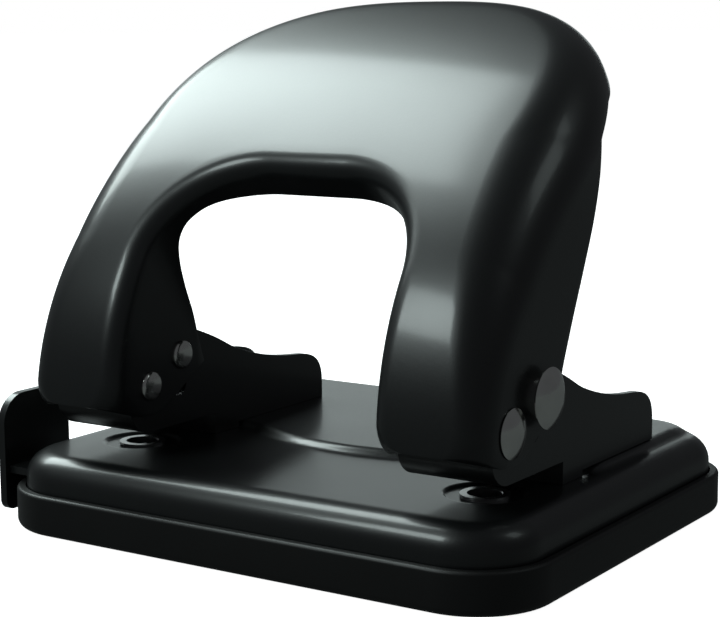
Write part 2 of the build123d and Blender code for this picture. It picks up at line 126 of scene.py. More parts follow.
class Nodes:
    """A node tree, and the one way that nodes are added to it."""

    def __init__(self, tree):
        self.tree = tree

    def node(self, kind, settings=None, *values, **named):
        """Add a node: its settings first, then its inputs by order or by name."""
        node = self.tree.nodes.new(kind)
        for key, value in (settings or {}).items():
            setattr(node, key, value)
        pairs = list(zip(node.inputs, values))
        pairs += [(node.inputs[key.replace("_", " ")], value) for key, value in named.items()]
        for socket, value in pairs:
            self.feed(socket, value)
        return node

    def feed(self, socket, value):
        """Link a socket to a value, or set it."""
        if isinstance(value, Value):
            value = value.socket
        if isinstance(value, bpy.types.NodeSocket):
            self.tree.links.new(value, socket)
        else:
            socket.default_value = value


class Paint(Nodes):
    """One material and the nodes that give its finish."""

    def __init__(self, name):
        self.material = bpy.data.materials.new(name)
        self.material.use_nodes = True
        super().__init__(self.material.node_tree)
        self.shader = self.tree.nodes["Principled BSDF"]
        self.place = self.node("ShaderNodeTexCoord").outputs["Object"]

    def number(self, kind, settings, *values):
        """Add a node and take its first output as a value."""
        return Value(self, self.node(kind, settings, *values).outputs[0])

    def noise(self, per_mm, detail=2.0, roughness=0.5, stretch=(1, 1, 1)):
        """Noise with that many lumps to a millimetre, as a value about 0.5."""
        place = self.place
        if stretch != (1, 1, 1):
            place = self.node("ShaderNodeMapping", {}, place, Scale=stretch).outputs[0]
        node = self.node(
            "ShaderNodeTexNoise",
            {},
            Vector=place,
            Scale=per_mm / MM,
            Detail=detail,
            Roughness=roughness,
        )
        return Value(self, node.outputs["Fac"])

    def cells(self, per_mm):
        """Distance to the nearest of many scattered points."""
        node = self.node("ShaderNodeTexVoronoi", {}, Vector=self.place, Scale=per_mm / MM)
        return Value(self, node.outputs["Distance"])

    def mix(self, factor, first, second):
        """A colour between two colours."""
        node = self.node("ShaderNodeMix", {"data_type": "RGBA"})
        self.feed(node.inputs["Factor"], factor)
        self.feed(node.inputs[6], first)
        self.feed(node.inputs[7], second)
        return node.outputs[2]

    def bump(self, height, depth_mm):
        """Feed the shader's normal from a height."""
        node = self.node("ShaderNodeBump", {}, Strength=1.0, Distance=depth_mm * MM, Height=height)
        self.feed(self.shader.inputs["Normal"], node.outputs[0])

    def set(self, **values):
        """Set or link the shader's own sockets."""
        for key, value in values.items():
            self.feed(self.shader.inputs[key.replace("_", " ")], value)


def grey(level, warmth=0.0):
    """A near-neutral colour; a negative warmth leans to green-blue."""
    return (level * (1 + warmth), level, level * (1 - warmth * 0.6), 1)


# ---- Materials ---------------------------------------------------------------------------------
def black_enamel():
    """Satin black stoving enamel: fine orange peel, a faint speckle and uneven gloss."""
    paint = Paint("black_enamel")
    peel = paint.noise(1.6, detail=2.0)
    grain = paint.noise(7.0, detail=1.0)
    cloud = paint.noise(0.03, detail=3.0)
    speck = 1 - paint.cells(5.0).between(0.1, 0.32)
    paint.set(
        Base_Color=paint.mix(speck * 0.5 + grain * 0.3, grey(0.006, -0.08), grey(0.022, -0.08)),
        Roughness=cloud * 0.06 + grain * 0.14 + 0.27,
        Coat_Weight=0.3,
        Coat_Roughness=0.14,
        Specular_IOR_Level=0.5,
    )
    paint.bump(peel * 0.6 + grain * 0.4, 0.012)
    return paint.material


def tray_plastic():
    """Moulded black plastic with a fine spark-eroded grain."""
    paint = Paint("tray_plastic")
    grain = paint.noise(5.0, detail=3.0)
    cloud = paint.noise(0.05, detail=2.0)
    paint.set(
        Base_Color=paint.mix(cloud, grey(0.006), grey(0.011)),
        Roughness=grain * 0.16 + 0.4,
        Specular_IOR_Level=0.42,
    )
    paint.bump(grain, 0.02)
    return paint.material


def metal(name, colour, roughness, per_mm, stretch, depth_mm):
    """Bare or plated metal with fine directional marks."""
    paint = Paint(name)
    marks = paint.noise(per_mm, detail=4.0, roughness=0.65, stretch=stretch)
    cloud = paint.noise(0.25, detail=2.0)
    dull = tuple(0.8 * c for c in colour)
    paint.set(
        Base_Color=paint.mix(cloud, dull + (1,), colour + (1,)),
        Metallic=1.0,
        Roughness=marks * 0.12 + cloud * 0.06 + roughness,
    )
    paint.bump(marks, depth_mm)
    return paint.material


enamel = black_enamel()
plastic = tray_plastic()
nickel = metal("bright_nickel", (0.82, 0.81, 0.78), 0.08, 1.2, (0.4, 1, 1), 0.006)
zinc = metal("zinc_plate", (0.6, 0.61, 0.62), 0.24, 1.0, (1, 1, 1), 0.006)
ground_steel = metal("ground_steel", (0.52, 0.52, 0.52), 0.2, 2.0, (1, 1, 6), 0.004)
spring_wire_finish = metal("spring_wire", (0.42, 0.42, 0.43), 0.25, 3.0, (1, 1, 1), 0.004)


# ---- Mesh helpers ------------------------------------------------------------------------------
def make_piece(name, points, faces, finish, smooth_deg=35):
    """A mesh from points in millimetres, with smooth shading below an angle."""
    mesh = bpy.data.meshes.new(name)
    mesh.from_pydata((np.asarray(points, float) * MM).tolist(), [], faces)
    mesh.validate()
    return finish_piece(name, mesh, finish, smooth_deg)


def finish_piece(name, mesh, finish, smooth_deg=35):
    """Link a mesh as a piece, weld it, point its faces outwards and shade it."""
    piece = bpy.data.objects.new(name, mesh)
    bpy.context.scene.collection.objects.link(piece)
    work = bmesh.new()
    work.from_mesh(mesh)
    bmesh.ops.remove_doubles(work, verts=work.verts, dist=1e-7)
    bmesh.ops.recalc_face_normals(work, faces=work.faces)
    work.to_mesh(mesh)
    work.free()
    mesh.materials.clear()
    mesh.materials.append(finish)
    mesh.shade_smooth()
    mesh.set_sharp_from_angle(angle=math.radians(smooth_deg))
    return piece


def apply_modifiers(piece):
    """Turn a piece's modifiers into its mesh."""
    graph = bpy.context.evaluated_depsgraph_get()
    mesh = bpy.data.meshes.new_from_object(piece.evaluated_get(graph))
    old = piece.data
    piece.modifiers.clear()
    piece.data = mesh
    bpy.data.meshes.remove(old)


def grid_faces(rows, columns, closed=False):
    """Quads of a grid of points; closed joins the last column to the first."""
    faces = []
    for i in range(rows - 1):
        for j in range(columns if closed else columns - 1):
            k = (j + 1) % columns
            row, following = i * columns, (i + 1) * columns
            faces.append((row + j, row + k, following + k, following + j))
    return faces


def arc(centre, radius, start_deg, end_deg, steps):
    """Points along an arc, as (x, y) pairs."""
    angles = np.radians(np.linspace(start_deg, end_deg, steps))
    return [(centre[0] + radius * math.cos(a), centre[1] + radius * math.sin(a)) for a in angles]


def turned(name, outline, centre, axis, finish, segments=96):
    """A closed turned piece: outline is (radius, height along axis from centre)."""
    axis = Vector(axis).normalized()
    across = axis.orthogonal().normalized()
    other = axis.cross(across)
    points = []
    for radius, height in outline:
        for k in range(segments):
            turn = 2 * math.pi * k / segments
            spoke = across * math.cos(turn) + other * math.sin(turn)
            points.append(Vector(centre) + axis * height + spoke * radius)
    faces = grid_faces(len(outline), segments, closed=True)
    if outline[0][0] > 0 and outline[-1] != outline[0]:
        faces += [tuple(range(segments))[::-1], tuple(range(len(points) - segments, len(points)))]
    return make_piece(name, points, faces, finish)


def keep_shape(node, finish, bevel_mm=0.0, smooth_deg=30):
    """A welded, smooth-shaded copy of a CAD node that stands for it."""
    mesh = nodes[node].data.copy()
    piece = finish_piece(node + "_skin", mesh, finish, smooth_deg)
    work = bmesh.new()
    work.from_mesh(mesh)
    bmesh.ops.remove_doubles(work, verts=work.verts, dist=2e-6)
    flat = math.radians(0.5)
    bmesh.ops.dissolve_limit(work, angle_limit=flat, verts=work.verts, edges=work.edges)
    work.to_mesh(mesh)
    work.free()
    mesh.set_sharp_from_angle(angle=math.radians(smooth_deg))
    if bevel_mm:
        bevel = piece.modifiers.new("edge", "BEVEL")
        bevel.width = bevel_mm * MM
        bevel.segments = 2
        bevel.limit_method = "ANGLE"
        bevel.angle_limit = math.radians(smooth_deg)
        bevel.harden_normals = True
        apply_modifiers(piece)
    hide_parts(node)
    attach(piece, nodes[node]["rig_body"])
    return piece


def stand_for(piece, node):
    """A piece takes a CAD node's place and body."""
    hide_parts(node)
    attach(piece, nodes[node]["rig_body"])
    return piece


# ---- Handle ------------------------------------------------------------------------------------
LEAN = math.radians(50.0)  # of the plane that the arch's outline lies in
OUTWARD = np.array([-math.cos(LEAN), math.sin(LEAN)])  # that plane's normal, as (y, z)
UPWARD = np.array([math.sin(LEAN), math.cos(LEAN)])
HANDLE_SHEET = 1.5
ARCH_SHOULDER = 32.0
ARCH_EXPONENT = 2.58
OPENING_CORNER = 20.5
CROWN_V = 88.2
OPENING_V = 28.6
FOOT_ROUND = 5.0
FOOT_FADE = 9.0
FACE_CROWN = 0.01
# Fillet radius by height in the leaning plane
OUTER_ROUND = ((-18.0, 12.0, 45.0, 85.0), (4.8, 10.3, 11.9, 7.5))
INNER_ROUND = ((-18.0, 10.0, 28.0), (3.8, 3.8, 3.4))
FRONT_BEND = 0.00888
FRONT_CURL = 0.000033

handle_low, handle_high = box("handle")
HALF_WIDTH = handle_high.x
FOOT_Y = handle_low.y
FOOT_Z = 26.0
die_right = middle("die_bush_right")
OPENING_HALF = 2 * die_right.x - HALF_WIDTH


def front_y(z):
    """The handle's front, seen from the side: nearly upright at the foot and leaning back above."""
    rise = z - FOOT_Z
    return FOOT_Y + FRONT_BEND * rise**2 + FRONT_CURL * rise**3


front_z = np.linspace(FOOT_Z - 4, 125, 900)
front_yz = np.column_stack([front_y(front_z), front_z])
front_v = front_yz @ UPWARD
front_slope = np.gradient(front_yz, axis=0)
front_inward = np.column_stack([front_slope[:, 1], -front_slope[:, 0]])
front_inward /= np.linalg.norm(front_inward, axis=1)[:, None]


def at_v(table, v):
    """Rows of a table along the front, looked up by height in the leaning plane."""
    return np.column_stack([np.interp(v, front_v, table[:, k]) for k in range(2)])


def dense_path(points, step=0.25):
    """Points a step apart along a path."""
    points = np.asarray(points, float)
    run = np.r_[0, np.cumsum(np.linalg.norm(np.diff(points, axis=0), axis=1))]
    places = np.linspace(0, run[-1], int(run[-1] / step) + 1)
    return np.column_stack([np.interp(places, run, points[:, k]) for k in range(2)])


def smooth_path(points, blur, step=0.25):
    """A dense copy of a path with its corners rounded over about the blur length."""
    dense = dense_path(points, step)
    reach = max(1, int(blur / step))
    kernel = np.hanning(2 * reach + 3)[1:-1]
    kernel /= kernel.sum()
    padded = np.vstack([np.repeat(dense[:1], reach, 0), dense, np.repeat(dense[-1:], reach, 0)])
    rounded = np.column_stack([np.convolve(padded[:, k], kernel, "valid") for k in range(2)])
    rounded[0], rounded[-1] = points[0], points[-1]
    return rounded


HEEL = (-17.5, 31.5)
OUTER_REAR = smooth_path(
    [
        HEEL,
        (-16.6, 36.0),
        (-12.2, 45.7),
        (-8.2, 53.9),
        (-4.3, 62.2),
        (-0.9, 70.6),
        (2.4, 82.7),
        (11.4, 84.4),
        (31.9, 95.8),
    ],
    5.0,
)
INNER_REAR = smooth_path(
    [
        HEEL,
        (-19.3, 37.0),
        (-20.8, 41.8),
        (-23.2, 46.7),
        (-25.4, 51.9),
        (-26.7, 56.5),
        (-26.2, 60.1),
        (-23.5, 63.5),
        (-20.6, 65.0),
        (-17.9, 65.8),
        (-6.0, 75.8),
    ],
    3.0,
)
BOTTOM = smooth_path([(FOOT_Y, FOOT_Z), (-37.5, 23.3), (-31.0, 23.3), HEEL], 4.0)


def flange_depth(rear, v):
    """How far a rear edge lies behind the front, square to the leaning plane."""
    behind = np.interp(v, rear @ UPWARD, rear @ OUTWARD)
    return at_v(front_yz, v) @ OUTWARD - behind


def polar(outline, centre_v, angles):
    """Points where rays from (0, centre_v) meet an outline."""
    outline = dense_path(outline)
    turn = np.arctan2(outline[:, 1] - centre_v, outline[:, 0])
    far = np.hypot(outline[:, 0], outline[:, 1] - centre_v)
    order = np.argsort(turn)
    radius = np.interp(angles, turn[order], far[order])
    return np.column_stack([radius * np.cos(angles), centre_v + radius * np.sin(angles)])


def arch_rows():
    """Outer and inner outline points of the arch, from its spring line to its crown."""
    spring_v = OPENING_V - OPENING_CORNER
    turn = np.linspace(0, math.pi / 2, 240)
    power = 2 / ARCH_EXPONENT
    rise = CROWN_V - ARCH_SHOULDER
    outer = np.column_stack(
        [HALF_WIDTH * np.cos(turn) ** power, ARCH_SHOULDER + rise * np.sin(turn) ** power]
    )
    outer = np.vstack([[HALF_WIDTH, spring_v], outer])
    corner_x = OPENING_HALF - OPENING_CORNER
    inner = arc((corner_x, spring_v), OPENING_CORNER, 0, 90, 90) + [(0.0, OPENING_V)]
    angles = np.linspace(0, math.pi / 2, 84)
    return spring_v, polar(outer, spring_v, angles), polar(inner, spring_v, angles)


def section_columns():
    """Where a section's columns lie: wall share, fillet angle or face share."""
    walls = np.linspace(1, 0, 13)[:-1]
    bends = np.linspace(90, 0, 12)
    face = np.linspace(0, 1, 22)[1:-1]
    columns = [("inner_wall", w) for w in walls]
    columns += [("inner_bend", b) for b in bends]
    columns += [("face", f) for f in face]
    columns += [("outer_bend", b) for b in bends[::-1]]
    columns += [("outer_wall", w) for w in walls[::-1]]
    return columns


def section(inner, outer, skews, rounds, crown_span, place):
    """One section of the handle's sheet, from its inner rear edge to its outer one."""
    span = outer - inner
    length = np.linalg.norm(span)
    along = span / length
    low = rounds[0] / skews[0]
    high = length - rounds[1] / skews[1]
    points = []
    for kind, value in section_columns():
        outside = int(kind.startswith("outer"))
        turn = math.radians(value) if kind.endswith("bend") else math.pi / 2
        inset = rounds[outside] * (1 - math.sin(turn)) / skews[outside]
        drop = rounds[outside] * (1 - math.cos(turn))
        reach = length - inset if outside else inset
        wall = value if kind.endswith("wall") else 0.0
        if kind == "face":
            reach = low + value * (high - low)
            drop = 0.0
        share = reach / length
        crown = FACE_CROWN * crown_span * (4 * share * (1 - share)) ** 1.5
        points.append(place(inner + along * reach, drop, wall, outside, crown))
    return points


LEG_X = (HALF_WIDTH + OPENING_HALF) / 2
LEG_HALF = (HALF_WIDTH - OPENING_HALF) / 2
chord = BOTTOM[-1] - BOTTOM[0]
bottom_share = (BOTTOM - BOTTOM[0]) @ chord / (chord @ chord)
bottom_off = BOTTOM - (BOTTOM[0] + bottom_share[:, None] * chord)


def leg_place(front, backs, inward, share, tuck, spot, drop, wall, outside, crown):
    """A point of a leg's section, which runs straight back towards the heel."""
    length = np.linalg.norm(backs[outside])
    back = backs[outside] / length
    depth = drop / (back @ inward)
    depth += wall * max(0.0, length - depth)
    off = np.array([np.interp(depth / length, bottom_share, bottom_off[:, k]) for k in range(2)])
    y, z = front + back * depth + off * (1 - share) ** 2 - inward * crown
    fade = max(0.0, 1 - depth / FOOT_FADE) ** 2
    x = LEG_X + (spot[0] - LEG_X) * (1 - tuck * fade / LEG_HALF)
    return (x, y, z)


def arch_place(ends, spot, drop, wall, outside, crown):
    """A point of the arch's section, which runs back square to the leaning plane."""
    front = at_v(front_yz, np.array([spot[1]]))[0]
    inward = at_v(front_inward, np.array([spot[1]]))[0]
    depth = drop / float(-OUTWARD @ inward)
    depth += wall * max(0.0, ends[outside] - depth)
    y, z = front - OUTWARD * depth - inward * crown
    return (spot[0], y, z)


def handle_half():
    """Rows of points over the right half of the handle, from its foot to its crown."""
    spring_v, outer_arch, inner_arch = arch_rows()
    rows = []
    # Leg: sections fan from the foot's lower edge to the spring line
    spring_front = at_v(front_yz, np.array([spring_v]))[0]
    spring_rears = [
        spring_front - OUTWARD * flange_depth(rear, np.array([spring_v]))[0]
        for rear in (INNER_REAR, OUTER_REAR)
    ]
    heel = np.asarray(HEEL)
    for share in np.linspace(0, 1, 46)[:-1] ** 1.25:
        z = FOOT_Z + share * (spring_front[1] - FOOT_Z)
        front = np.array([front_y(z), z])
        inward = np.array([np.interp(z, front_z, front_inward[:, k]) for k in range(2)])
        backs = [heel + share * (end - heel) - front for end in spring_rears]
        corner = max(0.0, FOOT_ROUND - (z - FOOT_Z))
        tuck = FOOT_ROUND - math.sqrt(FOOT_ROUND**2 - corner**2)

        place = functools.partial(leg_place, front, backs, inward, share, tuck)
        v = float(front @ UPWARD)
        rounds = (np.interp(v, *INNER_ROUND), np.interp(v, *OUTER_ROUND))
        ends = np.array([OPENING_HALF, 0.0]), np.array([HALF_WIDTH, 0.0])
        rows.append(section(*ends, (1.0, 1.0), rounds, 2 * LEG_HALF, place))
    # Arch: sections square to the leaning plane
    turns = [np.gradient(outline, axis=0) for outline in (inner_arch, outer_arch)]
    for k in range(len(outer_arch)):
        spots = inner_arch[k], outer_arch[k]
        along = (spots[1] - spots[0]) / np.linalg.norm(spots[1] - spots[0])
        skews = [
            abs(along[0] * turn[k][1] - along[1] * turn[k][0]) / np.linalg.norm(turn[k])
            for turn in turns
        ]
        ends = [
            flange_depth(rear, np.array([spot[1]]))[0]
            for rear, spot in zip((INNER_REAR, OUTER_REAR), spots)
        ]
        place = functools.partial(arch_place, ends)
        rounds = (np.interp(spots[0][1], *INNER_ROUND), np.interp(spots[1][1], *OUTER_ROUND))
        rows.append(section(*spots, skews, rounds, np.linalg.norm(spots[1] - spots[0]), place))
    return rows


def make_handle():
    """The pressed steel handle, with its sheet's thickness and softened cut edges."""
    right = handle_half()
    left = [[(-x, y, z) for x, y, z in row] for row in right]
    rows = left[:-1] + right[::-1]
    points = np.array(rows).reshape(-1, 3)
    piece = make_piece("handle_shell", points, grid_faces(len(rows), len(rows[0])), enamel, 60)
    normals = np.array([p.normal for p in piece.data.polygons])
    centres = np.array([p.center for p in piece.data.polygons])
    if (normals[centres[:, 1].argmin()])[1] > 0:
        piece.data.flip_normals()
    solid = piece.modifiers.new("sheet", "SOLIDIFY")
    solid.thickness = HANDLE_SHEET * MM
    solid.offset = -1
    solid.use_even_offset = True
    solid.thickness_clamp = 0.0
    edge = piece.modifiers.new("edge", "BEVEL")
    edge.width = 0.3 * MM
    edge.segments = 2
    edge.limit_method = "ANGLE"
    edge.angle_limit = math.radians(60)
    apply_modifiers(piece)
    piece.data.set_sharp_from_angle(angle=math.radians(60))
    return stand_for(piece, "handle")


make_handle()


# ---- Base plate --------------------------------------------------------------------------------
BASE_SHEET = 1.2
BASE_EDGE = 5.0
BASE_CORNER = 13.3
PLATEAU_RISE = 1.2
PLATEAU_HALF_WIDTH = 50.3
PLATEAU_STEP_Y = -3.5
PLATEAU_REAR_GAP = 2.7
STEP_WIDTH = 2.8
BULGE_RADIUS = 50.0
BULGE_APEX_Y = -11.2
DIMPLE_RADIUS = 7.4
DIMPLE_DEPTH = 0.6
DIMPLE_EASE = 0.5
BULGE_BLEND = 2.5
PLATEAU_BLEND = 9.0
SKIRT_Z = (6.0, 8.0)
FLAT_INSET = 6.0
FINE_RADIUS = 10.5  # of the finer mesh round a die
FINE_Z = 13.0
UPWARD_Z = 14.0  # faces above this belong to the top
DIE_RADIUS = 4.6
DIE_CUT = (8.0, 20.0)
SLOT_HALF = 4.3
SLOT_REACH = 3.0
SLOT_CUT = (8.7, 10.8)


PER_CORNER = 28
PER_SIDE = 64
RING = 4 * (PER_CORNER + PER_SIDE)


def rounded_ring(half_x, half_y, corner):
    """The same number of points round any rounded rectangle."""
    ring = []
    centres = [(1, 1, 0), (-1, 1, 90), (-1, -1, 180), (1, -1, 270)]
    for k, (sx, sy, start) in enumerate(centres):
        centre = (sx * (half_x - corner), sy * (half_y - corner))
        bend = arc(centre, corner, start, start + 90, PER_CORNER)
        nx, ny, turn = centres[(k + 1) % 4]
        next_centre = (nx * (half_x - corner), ny * (half_y - corner))
        following = arc(next_centre, corner, turn, turn + 90, 2)[0]
        side = np.linspace(bend[-1], following, PER_SIDE + 2)[1:-1]
        ring += bend + [tuple(spot) for spot in side]
    return np.array(ring)


def soft_least(first, second, blend_mm):
    """The smaller of two distances, rounded where they meet."""
    gap = np.maximum(blend_mm - np.abs(first - second), 0) / blend_mm
    return np.minimum(first, second) - gap**2 * blend_mm / 4


def smooth_step(value, low, high):
    """0 below low, 1 above high."""
    share = np.clip((value - low) / (high - low), 0, 1)
    return share * share * (3 - 2 * share)


def base_height(x, y, top, rear_y):
    """Height of the pressed top: the plateau's soft step and the dimples round the dies."""
    reach = np.sqrt(np.maximum(BULGE_RADIUS**2 - x**2, 1.0))
    bulge_y = BULGE_APEX_Y + BULGE_RADIUS - reach
    front = soft_least(np.full_like(x, PLATEAU_STEP_Y), bulge_y, BULGE_BLEND)
    inside = soft_least(y - front, PLATEAU_HALF_WIDTH - np.abs(x), PLATEAU_BLEND)
    inside = soft_least(inside, rear_y - PLATEAU_REAR_GAP - y, PLATEAU_BLEND)
    height = top + PLATEAU_RISE * smooth_step(inside, -STEP_WIDTH / 2, STEP_WIDTH / 2)
    for side in SIDES:
        die = middle("die_bush_" + side)
        away = np.hypot(x - die.x, y - die.y)
        edge = -DIMPLE_RADIUS
        height = height - DIMPLE_DEPTH * smooth_step(-away, edge - DIMPLE_EASE, edge + DIMPLE_EASE)
    return height


def cutter(name, outline, low, high):
    """A prism used only to cut: outline in X and Y, from low to high."""
    count = len(outline)
    points = [(x, y, low) for x, y in outline] + [(x, y, high) for x, y in outline]
    faces = [tuple(range(count))[::-1], tuple(range(count, 2 * count))]
    faces += [(k, (k + 1) % count, (k + 1) % count + count, k + count) for k in range(count)]
    return make_piece(name, points, faces, enamel)


def near_die(edge):
    """Whether an edge lies in the finer mesh round a die."""
    for side in SIDES:
        die = middle("die_bush_" + side)
        spots = [vert.co / MM for vert in edge.verts]
        if all(
            math.hypot(spot.x - die.x, spot.y - die.y) < FINE_RADIUS and spot.z > FINE_Z
            for spot in spots
        ):
            return True
    return False


def make_base():
    """The base plate, pressed from sheet, with its die holes and the guide's slot."""
    low, high = box("base_plate")
    top = high.z - PLATEAU_RISE
    half_x, half_y = high.x, high.y
    skirt = rounded_ring(half_x, half_y, BASE_CORNER)
    levels = [(skirt, z) for z in (low.z, *SKIRT_Z)]
    for turn in np.radians(np.linspace(0, 90, 11)):
        inset = BASE_EDGE * (1 - math.cos(turn))
        ring = rounded_ring(half_x - inset, half_y - inset, BASE_CORNER - inset)
        levels.append((ring, top - BASE_EDGE * (1 - math.sin(turn))))
    flat = rounded_ring(half_x - FLAT_INSET, half_y - FLAT_INSET, BASE_CORNER - FLAT_INSET)
    levels += [(flat * share, top) for share in np.linspace(1, 0.012, 66)]
    points = np.vstack([np.column_stack([ring, np.full(RING, z)]) for ring, z in levels])
    faces = grid_faces(len(levels), RING, closed=True)
    faces.append(tuple(range(len(points) - RING, len(points))))
    piece = make_piece("base_shell", points, faces, enamel, 60)
    mesh = piece.data
    work = bmesh.new()
    work.from_mesh(mesh)
    near = [edge for edge in work.edges if near_die(edge)]
    bmesh.ops.subdivide_edges(work, edges=near, cuts=2, use_grid_fill=True)
    raised = [vert for vert in work.verts if vert.co.z > (top - BASE_EDGE * 0.35) * MM]
    spots = np.array([vert.co for vert in raised]) / MM
    lifts = base_height(spots[:, 0], spots[:, 1], top, half_y) - top
    for vert, lift in zip(raised, lifts):
        vert.co.z += lift * MM
    work.to_mesh(mesh)
    work.free()
    if sum(face.normal.z for face in mesh.polygons if face.center.z > UPWARD_Z * MM) < 0:
        mesh.flip_normals()
    solid = piece.modifiers.new("sheet", "SOLIDIFY")
    solid.thickness = BASE_SHEET * MM
    solid.offset = -1
    solid.use_even_offset = True
    apply_modifiers(piece)
    cutters = []
    for side in SIDES:
        hole = arc(middle("die_bush_" + side)[:2], DIE_RADIUS, 0, 360, 97)[:-1]
        cutters.append(cutter("cut_" + side, hole, *DIE_CUT))
    near_x, far_x = -half_x - SLOT_REACH, -half_x + SLOT_REACH
    bar_y = middle("guide_stop_rivet").y
    front, rear = bar_y - SLOT_HALF, bar_y + SLOT_HALF
    slot = [(near_x, front), (far_x, front), (far_x, rear), (near_x, rear)]
    cutters.append(cutter("cut_slot", slot, *SLOT_CUT))
    for tool in cutters:
        cut = piece.modifiers.new("cut", "BOOLEAN")
        cut.operation = "DIFFERENCE"
        cut.object = tool
        cut.solver = "EXACT"
    apply_modifiers(piece)
    for tool in cutters:
        bpy.data.objects.remove(tool)
    piece.data.set_sharp_from_angle(angle=math.radians(50))
    return stand_for(piece, "base_plate")


make_base()

# ---- Pins --------------------------------------------------------------------------------------
TAIL_RADIUS = 2.85
TAIL_LENGTH = 1.1
PIVOT_HEAD = (4.5, 1.4)
DRIVE_HEAD = (5.5, 1.9)
COLLAR = (3.5, 1.8)
PIVOT_SHANK = 2.5
DRIVE_SHANK = 2.0


def dome(radius, start, height, rim=0.15, steps=14):
    """A domed head: a thin rolled rim, then a round cap."""
    rise = height * (1 - rim)
    cap_radius = (radius**2 + rise**2) / (2 * rise)
    half_turn = math.asin(radius / cap_radius)
    base = start + height - cap_radius
    turns = np.linspace(half_turn, 0, steps)
    cap = [(cap_radius * math.sin(turn), base + cap_radius * math.cos(turn)) for turn in turns]
    cap[-1] = (0.0, start + height)
    return [(radius - 0.1, start), (radius, start + 0.4 * rim * height)] + cap


def make_pin(kind, side, head, collar, shank):
    """A bright pin: its upset inner end, its shank, its collar if any and its domed head."""
    node = f"{kind}_pin_{side}"
    low, high = box(node)
    outwards = 1 if high.x > 0 else -1
    inner, outer = (low.x, high.x) if outwards > 0 else (high.x, low.x)
    length = abs(outer - inner)
    seat = length - head[1] - (collar[1] if collar else 0)
    outline = [(0.0, 0.0), (0.6, 0.0), (TAIL_RADIUS * 0.72, 0.16), (TAIL_RADIUS * 0.93, 0.4)]
    outline += [(TAIL_RADIUS, 0.7), (TAIL_RADIUS, TAIL_LENGTH), (shank, TAIL_LENGTH), (shank, seat)]
    if collar:
        outline += [(collar[0], seat), (collar[0], seat + collar[1])]
    outline += dome(head[0], length - head[1], head[1])
    centre = middle(node)
    centre = Vector((inner, centre.y, centre.z))
    pin = turned(node + "_bright", outline, centre, (outwards, 0, 0), nickel)
    return stand_for(pin, node)


for side in SIDES:
    make_pin("pivot", side, PIVOT_HEAD, None, PIVOT_SHANK)
    make_pin("drive", side, DRIVE_HEAD, COLLAR, DRIVE_SHANK)


# ---- Return springs and rivets, by Geometry Nodes ----------------------------------------------
class Tree(Nodes):
    """A Geometry Nodes tree with named inputs, applied to one piece."""

    def __init__(self, name, inputs):
        super().__init__(bpy.data.node_groups.new(name, "GeometryNodeTree"))
        face = self.tree.interface
        face.new_socket("Geometry", in_out="OUTPUT", socket_type="NodeSocketGeometry")
        face.new_socket("Geometry", in_out="INPUT", socket_type="NodeSocketGeometry")
        self.keys = {}
        for label, kind in inputs:
            socket = face.new_socket(label, in_out="INPUT", socket_type="NodeSocket" + kind)
            self.keys[label] = socket.identifier
        self.inputs = self.node("NodeGroupInput").outputs

    def finish(self, geometry, finish):
        """Make the instances real and set the finish."""
        real = self.node("GeometryNodeRealizeInstances", Geometry=geometry)
        painted = self.node("GeometryNodeSetMaterial", Geometry=real.outputs[0], Material=finish)
        self.node("NodeGroupOutput", {}, painted.outputs[0])

    def make(self, name, points, values, finish, smooth_deg=60):
        """Run the tree on a mesh of points and keep what it makes as a plain piece."""
        start = bpy.data.meshes.new(name)
        start.from_pydata([tuple(Vector(p) * MM) for p in points], [], [])
        seed = bpy.data.objects.new(name + "_seed", start)
        bpy.context.scene.collection.objects.link(seed)
        modifier = seed.modifiers.new("shape", "NODES")
        modifier.node_group = self.tree
        for label, value in values.items():
            modifier[self.keys[label]] = value
        graph = bpy.context.evaluated_depsgraph_get()
        mesh = bpy.data.meshes.new_from_object(seed.evaluated_get(graph))
        bpy.data.objects.remove(seed)
        return finish_piece(name, mesh, finish, smooth_deg)


SPRING_WIRE = 0.7
SPRING_TURNS = 2.25
SPRING_GAP = 0.01


def spring_tree():
    """A coil of round wire with closed ends, standing on each point."""
    labels = ("Radius", "Wire", "Height", "Turns")
    tree = Tree("coil_spring", [(label, "Float") for label in labels])
    inputs = tree.inputs
    spiral = tree.node(
        "GeometryNodeCurveSpiral",
        Resolution=64,
        Rotations=inputs["Turns"],
        Start_Radius=inputs["Radius"],
        End_Radius=inputs["Radius"],
        Height=inputs["Height"],
    )
    ring = tree.node("GeometryNodeCurvePrimitiveCircle", Resolution=14, Radius=inputs["Wire"])
    wire = tree.node(
        "GeometryNodeCurveToMesh",
        Curve=spiral.outputs[0],
        Profile_Curve=ring.outputs[0],
        Fill_Caps=True,
    )
    coils = tree.node(
        "GeometryNodeInstanceOnPoints",
        Points=inputs["Geometry"],
        Instance=wire.outputs[0],
    )
    tree.finish(coils.outputs[0], spring_wire_finish)
    return tree


def rivet_tree():
    """One rivet on each point."""
    tree = Tree("rivets", [("Rivet", "Object")])
    shape = tree.node("GeometryNodeObjectInfo", Object=tree.inputs["Rivet"])
    rivets = tree.node(
        "GeometryNodeInstanceOnPoints",
        Points=tree.inputs["Geometry"],
        Instance=shape.outputs["Geometry"],
    )
    tree.finish(rivets.outputs[0], zinc)
    return tree


